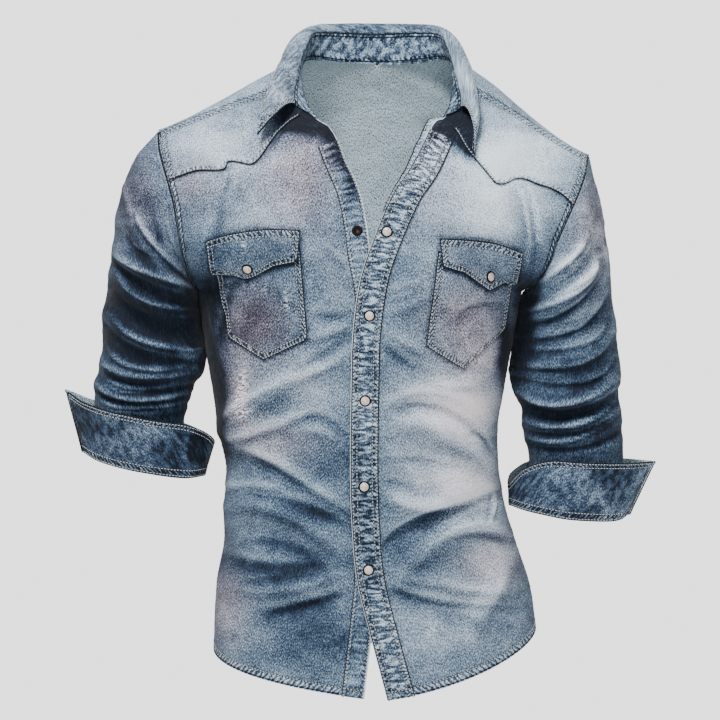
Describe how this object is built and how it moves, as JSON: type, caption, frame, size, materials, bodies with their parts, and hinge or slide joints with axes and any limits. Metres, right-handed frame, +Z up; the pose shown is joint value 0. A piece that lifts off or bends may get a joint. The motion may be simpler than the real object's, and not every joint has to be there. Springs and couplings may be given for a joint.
{
  "type": "denim shirt",
  "caption": "Washed denim western shirt with turned-back cuffs, pointed yokes, flap pockets and pearl snaps, open at the neck and filled out as if worn.",
  "frame": {"origin": "middle of the neck at the height of the tops of the shoulders, where the shirt hangs from its wearer", "axes": "+Z up, the front faces -Y, the wearer's left is +X"},
  "size_m": [0.712, 0.2533, 0.7941],
  "materials": {
    "denim_body": "stone-washed twill denim, faded on the folds",
    "denim_yoke": "stone-washed twill denim, palest on the shoulders",
    "denim_sleeve": "washed twill denim, darker towards the cuffs",
    "denim_cuff": "darker washed denim in two layers with roped edges",
    "denim_collar": "washed denim in two layers with puckered stitching",
    "denim_placket": "washed denim strip, puckered between two rows of stitching",
    "denim_pocket": "washed denim patch with a dark stitched edge",
    "pearl_snap": "ivory pearl cap in a dark antique metal ring",
    "dark_metal": "antique darkened snap socket"
  },
  "bodies": {
    "root": {"front_right": "denim_body", "front_left": "denim_body", "back": "denim_body", "sleeve_right": "denim_sleeve", "sleeve_left": "denim_sleeve", "cuff_right": "denim_cuff", "cuff_left": "denim_cuff", "collar_stand": "denim_collar", "collar_leaf": "denim_collar", "yoke_front_right": "denim_yoke", "yoke_front_left": "denim_yoke", "yoke_back": "denim_yoke", "placket_right": "denim_placket", "placket_left": "denim_placket", "pocket_right": "denim_pocket", "pocket_left": "denim_pocket", "flap_right": "denim_pocket", "flap_left": "denim_pocket", "snap_1": "pearl_snap", "snap_2": "pearl_snap", "snap_3": "pearl_snap", "snap_4": "pearl_snap", "snap_5": "pearl_snap", "snap_flap_right": "pearl_snap", "snap_flap_left": "pearl_snap", "snap_socket": "dark_metal"}
  },
  "joints": []
}
